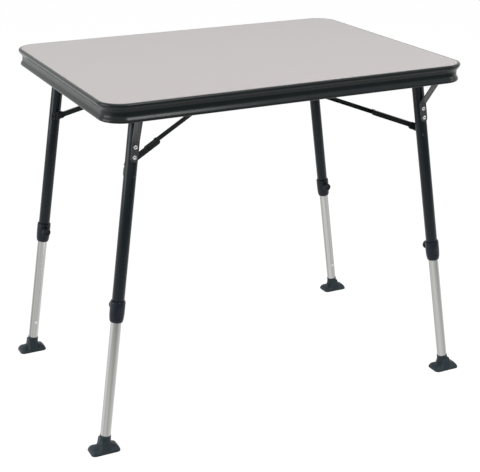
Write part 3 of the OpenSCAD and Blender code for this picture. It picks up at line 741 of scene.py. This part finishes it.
@dataclass
class Leg:
    """One telescopic leg with its strap, collar, knob, foot and brace. Sizes are in metres."""

    corner: Corner
    upper: float = 12.5 * MM
    upper_bore: float = 11 * MM
    upper_over: float = 10.5 * MM
    upper_len: float = 402 * MM
    lower: float = 10.7 * MM
    lower_bore: float = 9.5 * MM
    tube_soft: float = 0.4 * MM
    groove: float = 4 * MM
    groove_depth: float = 0.6 * MM
    groove_edge: float = 0.03
    collar_down: float = 374 * MM
    collar_len: float = 44 * MM
    collar: float = 15.2 * MM
    mouth_wall: float = 1.6 * MM
    knob_down: float = 390 * MM
    knob: float = 9.5 * MM
    knob_thick: float = 6.5 * MM
    boss: float = 7 * MM
    boss_high: float = 5 * MM
    boss_end: float = 18.2 * MM
    stem: float = 3 * MM
    knob_gap: float = 0.3 * MM
    stop: float = 3.4 * MM
    stop_up: float = 40 * MM
    rivet_head: float = 4.2 * MM
    rivet_hole: float = 1.3 * MM
    rivet_downs: tuple[float, float] = (62.5 * MM, 82.5 * MM)
    grips: tuple[float, ...] = (0.5, 0.625, 0.75)
    grip_deep: float = 0.75 * MM
    grip_high: float = 1.3 * MM
    grip_wide: float = 4.5 * MM
    grip_fade: float = 1.6 * MM
    collar_straight: float = 0.45
    strap_face: float = 15 * MM
    brace_down: float = 115.5 * MM
    lug_pitch: float = 10 * MM
    lug_over: float = 14 * MM
    lug_head: float = 2.8 * MM
    brace_side: float = 27 * MM
    channel_len: float = 92 * MM
    channel_wide: float = 6.5 * MM
    link_gap: float = 2 * MM
    strip_thick: float = 3 * MM
    bead_ends: tuple[float, ...] = (12 * MM, 8 * MM, 8 * MM, 14 * MM)
    foot_long: float = 31 * MM
    foot_wide: float = 20 * MM
    foot_corner: float = 9 * MM
    foot_high: float = 34 * MM
    lobe_high: float = 15 * MM
    shoulder: float = 0.9 * MM
    neck_spread: float = 2.5 * MM
    web_wide: float = 8.5 * MM
    web_edge: float = 5 * MM
    web_top: float = 28 * MM
    ridge_flat: float = 5 * MM
    hollow_at: float = 13 * MM
    hollow_wide: float = 4.5 * MM
    hollow_deep: float = 3.2 * MM
    lobe_round: float = 7 * MM
    web_round: float = 4.5 * MM
    spigot: float = 25 * MM

    def __post_init__(self) -> None:
        """Works out the leg's own frame, and the side of its brace, from the joints."""
        fold = JOINTS[f"fold_{self.corner.tag}"]
        z = Vector(JOINTS[f"extend_{self.corner.tag}"]["axis"]).normalized()
        y = -Vector(JOINTS[f"clamp_{self.corner.tag}"]["axis"]).normalized()
        x = y.cross(z) * self.corner.hand
        self.hinge = Vector(fold["pos_m"])
        turn = Matrix((x, y, z)).transposed().to_4x4()
        self.matrix = Matrix.Translation(self.hinge) @ turn
        self.body = f"leg_{self.corner.tag}"
        low, high = (Vector(v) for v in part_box(f"brace_channel_{self.corner.tag}"))
        reach = (low + high) / 2 - self.hinge
        across = Vector(fold["axis"]).normalized()
        self.side = across if across.dot(reach) > 0 else -across

    def inner_side(self, out: float, level: float) -> Matrix:
        """Turns Z away from the tube on its inner side, and moves the start out to there."""
        return Matrix.Translation((0, -out, level)) @ Matrix.Rotation(radians(90), 4, "X")

    def spot(self, x: float, y: float, z: float) -> Vector:
        """A place in the leg's frame as a place in the model."""
        return self.matrix @ Vector((x, y, z))

    def way(self, x: float, y: float, z: float) -> Vector:
        """A direction in the leg's frame as a direction in the model."""
        return (self.matrix.to_3x3() @ Vector((x, y, z))).normalized()

    def add(self, name: str, mesh: bmesh.types.BMesh, finish: Finish, sharp: float = 40) -> bpy.types.Object:
        """Places a mesh of the leg's frame in the model."""
        return new_mesh(f"{name}_{self.corner.tag}", place(mesh, self.matrix), finish, sharp)

    def build_upper(self) -> None:
        """Builds the upper tube and the plug in its top."""
        profile = tube_profile(
            self.upper, self.upper_bore, -self.upper_len, self.upper_over, self.tube_soft,
        )
        tube = self.add("upper_tube", lathe(profile, 96, True), TUBE_PAINT)
        settle(tube, self.body, "anthracite", f"leg_tube_{self.corner.tag}")
        over = self.upper_over
        plug = lathe([
            (self.upper_bore, over - 5.5 * MM), (self.upper_bore, over), (self.upper, over),
            (self.upper, over + 0.9 * MM), (self.upper - 0.6 * MM, over + 1.5 * MM),
        ], 72)
        piece = self.add("top_plug", plug, PLUG_PLASTIC)
        settle(piece, self.body, "black_plastic", f"tube_plug_{self.corner.tag}")

    def build_lower(self) -> None:
        """Builds the lower tube with its groove, and the stop in the groove."""
        node = f"lower_tube_{self.corner.tag}"
        points = [self.matrix.inverted() @ Vector(v.co) for v in frame["nodes"][node].data.vertices]
        low, high = min(p.z for p in points), max(p.z for p in points)
        stop_z = low + self.stop_up
        rings = []
        soft = self.tube_soft
        skin = (
            (soft, low), (0, low + soft), (0, stop_z - self.stop), (0, stop_z), (0, high - soft),
            (soft, high),
        )
        for cut, level in skin:
            rings.append([self.groove_point(a, cut, level >= stop_z, level) for a in self.tube_angles()])
        for bore, level in ((self.lower_bore, high), (self.lower_bore, low)):
            rings.append([(bore * cos(a), bore * sin(a), level) for a in self.tube_angles()])
        tube = self.add("lower_tube", loft(rings, True), ALUMINIUM, 30)
        body = f"lower_leg_{self.corner.tag}"
        settle(tube, body, "bare_aluminium", node)
        button = lathe([
            (self.stop, 0), (self.stop, 0.7 * MM), (self.stop * 0.86, 1.1 * MM), (self.stop * 0.6, 1.25 * MM),
            (self.stop * 0.5, 0.8 * MM), (self.stop * 0.1, 0.7 * MM),
        ], 32)
        seat = self.inner_side(self.lower - 0.4 * MM, stop_z)
        piece = self.add("groove_stop", place(button, seat), RIVET_STEEL)
        settle(piece, body, "rivet_steel")

    def tube_angles(self) -> list[float]:
        """Angles round the lower tube, closer together at the groove's walls.

        Returns:
            The angles in order, starting opposite the groove.
        """
        half = self.groove / 2 / self.lower
        edge = self.groove_edge
        near = [-half - edge, -half, -half + edge, 0.0, half - edge, half, half + edge]
        wide = 2 * pi - 2 * (half + edge)
        steps = 84
        rest = [half + edge + wide * i / steps for i in range(1, steps)]
        return [a - pi / 2 for a in near + rest]

    def groove_point(self, angle: float, cut: float, grooved: bool, level: float) -> Point:
        """A point of the lower tube's skin.

        Args:
            angle: Where it lies round the tube.
            cut: How much the tube's end is rounded there.
            grooved: Whether the groove reaches this level.
            level: Its height.

        Returns:
            The point in the leg's frame.
        """
        half = self.groove / 2 / self.lower
        offset = abs(angle + pi / 2)
        depth = self.groove_depth if grooved and offset < half - 0.001 else 0.0
        r = self.lower - cut - depth
        return (r * cos(angle), r * sin(angle), level)

    def build_rivets(self) -> None:
        """Sets the two hollow rivets on the strap."""
        r, hole = self.rivet_head, self.rivet_hole
        rivet = lathe([
            (hole, -0.5 * MM), (r, 0.0), (r, 0.35 * MM), (r * 0.95, 0.75 * MM), (r * 0.82, 1.05 * MM),
            (r * 0.62, 1.15 * MM), (r * 0.45, 1.0 * MM), (hole, 0.55 * MM), (hole, -0.3 * MM),
        ], 40, True)
        places = [(self.spot(0, self.strap_face, -down), self.way(0, 1, 0)) for down in self.rivet_downs]
        piece = scatter(f"hollow_rivets_{self.corner.tag}", rivet, places, RIVET_STEEL)
        settle(piece, self.body, "rivet_steel", f"leg_rivets_{self.corner.tag}")
        head = self.lug_head
        small = lathe([
            (head, -0.6 * MM), (head, 0.15 * MM), (head * 0.93, 0.4 * MM), (head * 0.75, 0.6 * MM),
            (head * 0.45, 0.72 * MM), (0.05 * MM, 0.75 * MM),
        ], 32)
        middle = (self.spot(0, 0, -self.brace_down) - self.hinge).dot(self.side)
        places = []
        for step in (-1, 1):
            on_axis = self.spot(0, 0, -self.brace_down - step * self.lug_pitch / 2)
            on_axis += self.side * (middle - (on_axis - self.hinge).dot(self.side))
            places.append((on_axis + self.side * self.lug_over, self.side))
            if step > 0:
                places.append((on_axis - self.side * (self.upper - 0.5 * MM), -self.side))
        piece = scatter(f"lug_rivets_{self.corner.tag}", small, places, BRACKET_PAINT)
        settle(piece, self.body, "bracket_paint")

    def collar_radius(self, down: float) -> float:
        """The collar's outer radius at a share of its length below its top."""
        mouth = self.lower + self.mouth_wall
        fall = min(1.0, max(0.0, (down - self.collar_straight) / (1 - self.collar_straight)))
        return mouth + (self.collar - mouth) * (1 - fall * fall) ** 0.5

    def collar_profile(self) -> Profile:
        """Half section of the collar, bottom to top outside, back down round the bore.

        Returns:
            The closed profile in the leg's frame.
        """
        top, low = -self.collar_down, -self.collar_down - self.collar_len
        mouth = self.lower + self.mouth_wall
        r = self.collar
        round_end = (1 - (i / 8) ** 2 * 0.5 for i in range(1, 9))
        near_grips = (middle + step * 0.0125 for middle in self.grips for step in range(-3, 4))
        shares = sorted({*round_end, *near_grips}, reverse=True)
        curve = [(self.collar_radius(share), top - self.collar_len * share) for share in shares]
        return [
            (self.lower + 0.05 * MM, low), (mouth - 0.5 * MM, low), *curve,
            (r, top - 4 * MM), (r - 0.2 * MM, top - 2.7 * MM), (r - 0.55 * MM, top - 2.4 * MM),
            (r - 0.5 * MM, top - 0.8 * MM), (r - 0.9 * MM, top - 0.2 * MM), (r - 1.5 * MM, top),
            (self.upper, top), (self.upper, -self.upper_len), (self.lower + 0.05 * MM, -self.upper_len),
        ]

    def press_grips(self, ring: bmesh.types.BMesh) -> None:
        """Presses the short grip grooves into the collar's outer face.

        Args:
            ring: The turned collar, in the leg's frame.
        """
        for vert in ring.verts:
            around = hypot(vert.co.x, vert.co.y)
            down = (-self.collar_down - vert.co.z) / self.collar_len
            if around < self.upper + 0.3 * MM or vert.co.y < 0 or not 0.4 < down < 0.9:
                continue
            nearest = min(abs(down - middle) for middle in self.grips) * self.collar_len
            sideways = max(0.0, abs(vert.co.x) - self.grip_wide) / self.grip_fade
            depth = self.grip_deep * max(0.0, 1 - (nearest / self.grip_high) ** 2) * max(0.0, 1 - sideways)
            vert.co.xy *= (around - depth) / around

    def build_collar(self) -> None:
        """Builds the clamp collar with its boss and grip grooves, and the knob on it."""
        ring = lathe(self.collar_profile(), 144, True)
        self.press_grips(ring)
        high, bore = self.boss_high, self.stem + 0.05 * MM
        boss = lathe([
            (self.boss, 0), (self.boss, high - 0.5 * MM), (self.boss - 0.5 * MM, high), (bore, high),
            (bore, 0),
        ], 48, True)
        seat = self.inner_side(self.boss_end - high, -self.knob_down)
        piece = self.add("collar", join([ring, place(boss, seat)]), COLLAR_PLASTIC, 35)
        settle(piece, self.body, "collar_plastic", f"leg_collar_{self.corner.tag}")
        self.build_knob()

    def build_knob(self) -> None:
        """Builds the round clamp knob with its stem."""
        r, t = self.knob, self.knob_thick
        sunk = self.boss_end - self.lower - self.knob_gap
        profile = [
            (self.stem, -sunk), (self.stem, 0), (r - 0.9 * MM, 0), (r - 0.3 * MM, 0.25 * MM), (r, 0.9 * MM),
            (r, t - 1.8 * MM), (r - 0.25 * MM, t - 0.9 * MM), (r - 0.9 * MM, t - 0.25 * MM),
            (r - 1.8 * MM, t), (r - 3.6 * MM, t), (r - 4.4 * MM, t - 0.35 * MM),
            (r - 4.8 * MM, t - 0.65 * MM), (0.05 * MM, t - 0.7 * MM),
        ]
        seat = self.inner_side(self.boss_end + self.knob_gap, -self.knob_down)
        piece = self.add("knob", place(lathe(profile, 64), seat), KNOB_PLASTIC)
        settle(piece, f"knob_{self.corner.tag}", "knob_plastic", f"clamp_knob_{self.corner.tag}")

    def foot_height(self, x: float, y: float, rim: float) -> float:
        """Height of the foot's upper skin above the floor.

        Args:
            x: Distance from the foot's middle along the table's length.
            y: Distance from the foot's middle across the table.
            rim: Distance to the foot's outline.

        Returns:
            The height, which falls to 0 in a round edge at the outline.
        """
        neck = self.lower + self.shoulder
        away, beside = abs(x), abs(y)
        slope = max(0.0, away - neck) / (self.foot_long - neck)
        ridge = max(0.0, beside - self.ridge_flat) / (self.foot_wide - self.ridge_flat)
        lobe = self.lobe_high * (1 - 0.42 * slope ** 1.1) * (1 - 0.38 * ridge ** 1.5)
        hollow = exp(-((away - self.hollow_at) / self.hollow_wide) ** 2) * min(1.0, ridge * 1.6)
        lobe -= self.hollow_deep * hollow
        fall = max(0.0, beside - neck) / (self.foot_wide - neck)
        web = self.web_top + (self.web_edge - self.web_top) * fall
        share = min(1.0, max(0.0, (self.web_wide + 1.5 * MM - away) / (3 * MM)))
        share = share * share * (3 - 2 * share)
        height = lobe + max(0.0, web - lobe) * share
        soft = min(1.0, rim / (self.lobe_round if away > self.web_wide else self.web_round))
        return max(0.0, height * (1 - (1 - soft) ** 2) ** 0.5)

    def foot_skin(self, middle: Vector) -> bmesh.types.BMesh:
        """The foot's two lobes and its web, as rings from the outline inwards.

        Args:
            middle: Where the foot stands.

        Returns:
            The closed skin in the model.
        """
        outline = []
        corner = self.foot_corner
        for turn, (a, b) in enumerate(((1, 1), (-1, 1), (-1, -1), (1, -1))):
            centre = (a * (self.foot_long - corner), b * (self.foot_wide - corner))
            outline += arc(centre, corner, 90 * turn, 90 * turn + 90, 9)
        dense = []
        for i, point in enumerate(outline):
            after = outline[(i + 1) % len(outline)]
            parts = max(1, round(dist(point, after) / (1.5 * MM)))
            dense += [tuple(Vector(point).lerp(Vector(after), k / parts)) for k in range(parts)]
        rings = []
        for share in (1.0, 0.995, 0.98, 0.955, 0.92, 0.87, 0.81, 0.74, 0.66, 0.58, 0.5, 0.42, 0.34, 0.26):
            ring = []
            for x, y in dense:
                px, py = x * share, y * share
                rim = min(
                    self.foot_long - abs(px), self.foot_wide - abs(py), (1 - share) * hypot(x, y),
                )
                ring.append((middle.x + px, middle.y + py, self.foot_height(px, py, rim)))
            rings.append(ring)
        return loft(rings)

    def build_foot(self) -> None:
        """Builds the rubber foot: two lobes along the table's length and a neck round the tube."""
        node = f"foot_{self.corner.tag}"
        lean = self.way(0, 0, -1)
        ground = self.hinge + lean * (self.hinge.z / -lean.z)
        top = -(self.hinge.z - self.foot_high) / -lean.z
        neck, drop = self.lower + self.shoulder, self.foot_high - self.lobe_high / 2
        profile = [
            (neck + self.neck_spread * (1 - cos(radians(90 * i / 10))), top - drop * i / 10)
            for i in range(10, -1, -1)
        ]
        profile[-1:] = [(neck, top - 0.5 * MM), (neck - 0.15 * MM, top - 0.15 * MM), (neck - 0.5 * MM, top)]
        profile += [(self.lower_bore, top), (self.lower_bore, top + self.spigot)]
        holder = place(lathe(profile, 72), self.matrix)
        piece = new_mesh(f"rubber_{node}", join([self.foot_skin(ground), holder]), FOOT_RUBBER, 60)
        settle(piece, f"lower_leg_{self.corner.tag}", "foot_rubber", node)

    def build_beads(self) -> None:
        """Presses a bead along both faces of the brace's two links."""
        start = Vector(JOINTS[f"channel_{self.corner.tag}"]["pos_m"])
        end = Vector(JOINTS[f"strip_{self.corner.tag}"]["pos_m"])
        along = end - start
        along -= self.side * along.dot(self.side)
        span = along.length
        along.normalize()
        up = along.cross(self.side)
        middle = (self.spot(0, 0, -self.brace_down) - self.hinge).dot(self.side) + self.brace_side
        near, far = middle - self.channel_wide / 2, middle + self.channel_wide / 2
        strip = far + self.link_gap
        gaps, reach = self.bead_ends, self.channel_len
        rows = (
            ("brace_channel", ((near, -1), (far, 1)), gaps[0], reach - gaps[1]),
            ("brace_strip", ((strip, -1), (strip + self.strip_thick, 1)), reach + gaps[2], span - gaps[3]),
        )
        base = start - self.side * (start - self.hinge).dot(self.side)
        for name, faces, first, last in rows:
            half = (last - first) / 2
            parts = []
            for side, out in faces:
                bead = lathe([
                    (0.05 * MM, -half), (0.6 * MM, -half + 0.4 * MM), (0.9 * MM, -half + 1.2 * MM),
                    (0.9 * MM, half - 1.2 * MM), (0.6 * MM, half - 0.4 * MM), (0.05 * MM, half),
                ], 20)
                origin = base + along * (first + half) + self.side * (side - out * 0.45 * MM)
                turned = Matrix((up, self.side, along)).transposed().to_4x4()
                parts.append(place(bead, Matrix.Translation(origin) @ turned))
            piece = new_mesh(f"{name}_bead_{self.corner.tag}", join(parts), BRACE_PAINT, 50)
            settle(piece, f"{name}_{self.corner.tag}", "brace_paint")

    def build_metalwork(self) -> None:
        """Dresses the strap, the brace and its lug."""
        tag = self.corner.tag
        strap, lug, channel, strip = (
            f"{kind}_{tag}" for kind in ("leg_strap", "brace_lug", "brace_channel", "brace_strip")
        )
        settle(dressed_copy(strap, STRAP_PAINT), self.body, "strap_paint", strap)
        for node, body in ((lug, self.body), (channel, channel), (strip, strip)):
            settle(dressed_copy(node, BRACE_PAINT), body, "brace_paint", node)
        self.build_beads()

    def build(self) -> None:
        """Builds the whole leg."""
        steps: tuple[Callable[[], None], ...] = (
            self.build_upper, self.build_lower, self.build_rivets, self.build_collar, self.build_foot,
            self.build_metalwork,
        )
        for step in steps:
            step()


def plainly_seen(tree: bpy.types.NodeTree) -> tuple[bpy.types.Node, bpy.types.NodeSocket]:
    """Tells the rays that see a surface, straight or in a reflection, from those that light it.

    Args:
        tree: The node tree of a material or of the world.

    Returns:
        The Light Path node, and a socket that is 1 for the rays that see.
    """
    path = shader(tree, "LightPath", {})
    seen = path.outputs["Is Camera Ray"]
    for kind in ("Is Glossy Ray", "Is Transmission Ray"):
        either = shader(tree, "Math", {0: seen, 1: path.outputs[kind]}, operation="MAXIMUM")
        seen = either.outputs[0]
    return path, seen


@dataclass(frozen=True)
class Lamp:
    """A square soft lamp: where it hangs, what it faces, its side in metres and its watts."""

    name: str
    at: Point
    target: Point
    side: float
    power: float

    def hang(self) -> None:
        """Adds the lamp to the scene."""
        data = bpy.data.lights.new(self.name, "AREA")
        data.size = self.side
        data.energy = self.power
        lamp = bpy.data.objects.new(self.name, data)
        lamp.location = self.at
        lamp.rotation_euler = (Vector(self.target) - Vector(self.at)).to_track_quat("-Z", "Y").to_euler()
        bpy.context.scene.collection.objects.link(lamp)


@dataclass
class Studio:
    """The floor, the lamps, the white surroundings and the camera."""

    camera_at: Point = (-1.0696, -2.2244, 1.2569)
    camera_yaw: float = 26.0
    camera_pitch: float = 21.008
    lens: float = 87.05
    floor_half: float = 12.0
    floor_shade: float = 0.86
    floor_glow: float = 1.12
    floor_share: float = 0.85
    world_light: float = 0.25
    lamps: tuple[Lamp, ...] = (
        Lamp("left_panel", (-3.2, 0.2, 1.3), (0, 0, 0.5), 2.0, 55),
        Lamp("top_panel", (0.2, -0.1, 3.2), (0, 0, 0.5), 2.5, 26),
        Lamp("front_panel", (0.5, -2.3, 3.0), (0, 0, 0.6), 1.0, 34),
        Lamp("right_panel", (3.0, -1.6, 1.6), (0, 0, 0.4), 1.2, 12),
    )

    def floor_strength(self, tree: bpy.types.NodeTree, path: bpy.types.Node) -> bpy.types.NodeSocket:
        """How strongly the floor glows: evenly to the eye, and less far in front in reflections.

        Args:
            tree: The floor material's node tree.
            path: Its Light Path node.

        Returns:
            The socket that holds the strength.
        """
        place_on = shader(tree, "TexCoord", {}).outputs["Object"]
        split = shader(tree, "SeparateXYZ", {0: place_on})
        fall = shader(tree, "MapRange", {
            "Value": split.outputs["Y"], "From Min": -1.6, "From Max": -0.45, "To Min": 0.3, "To Max": 1.15,
        })
        return shader(tree, "Mix", {
            "Factor": path.outputs["Is Glossy Ray"], "A": self.floor_glow, "B": fall.outputs["Result"],
        }).outputs["Result"]

    def build_floor(self) -> None:
        """Lays a pale floor that keeps the table's shadow."""
        mesh = bmesh.new()
        h = self.floor_half
        mesh.faces.new([mesh.verts.new(p) for p in ((-h, -h, 0), (h, -h, 0), (h, h, 0), (-h, h, 0))])
        data = bpy.data.meshes.new("floor")
        mesh.to_mesh(data)
        mesh.free()
        floor = bpy.data.objects.new("floor", data)
        bpy.context.scene.collection.objects.link(floor)
        material = bpy.data.materials.new("floor_white")
        material.use_nodes = True
        tree = material.node_tree
        tree.nodes.clear()
        path, seen = plainly_seen(tree)
        share = shader(tree, "Math", {0: seen, 1: self.floor_share}, operation="MULTIPLY")
        shade = self.floor_shade
        diffuse = shader(tree, "BsdfDiffuse", {"Color": (shade, shade, shade, 1)})
        glow = shader(tree, "Emission", {"Strength": self.floor_strength(tree, path)})
        mix = shader(tree, "MixShader", {
            "Fac": share.outputs[0], 1: diffuse.outputs[0], 2: glow.outputs[0],
        })
        shader(tree, "OutputMaterial", {"Surface": mix.outputs[0]})
        data.materials.append(material)

    def build_world(self) -> None:
        """Makes the surroundings white where they are seen, and softer where they light."""
        world = bpy.data.worlds.new("studio")
        bpy.context.scene.world = world
        world.use_nodes = True
        tree = world.node_tree
        tree.nodes.clear()
        light, white = (
            shader(tree, "Background", {"Color": (1, 1, 1, 1), "Strength": strength}).outputs[0]
            for strength in (self.world_light, 1.0)
        )
        mix = shader(tree, "MixShader", {"Fac": plainly_seen(tree)[1], 1: light, 2: white})
        shader(tree, "OutputWorld", {"Surface": mix.outputs[0]})

    def build_camera(self) -> None:
        """Sets the camera where the photograph was taken from."""
        data = bpy.data.cameras.new("camera")
        data.lens = self.lens
        data.sensor_width = 36.0
        camera = bpy.data.objects.new("camera", data)
        camera.location = self.camera_at
        camera.rotation_euler = (radians(90 - self.camera_pitch), 0, radians(-self.camera_yaw))
        bpy.context.scene.collection.objects.link(camera)
        bpy.context.scene.camera = camera

    def build(self) -> None:
        """Builds the studio."""
        self.build_floor()
        self.build_world()
        self.build_camera()
        for lamp in self.lamps:
            lamp.hang()
        bpy.context.scene.view_settings.view_transform = "Standard"


def main() -> None:
    """Builds the table and its studio."""
    logging.basicConfig(level=logging.INFO, format="%(message)s")
    TableTop().build()
    for corner in Corner:
        Leg(corner).build()
    Studio().build()


if __name__ == "__main__":
    main()
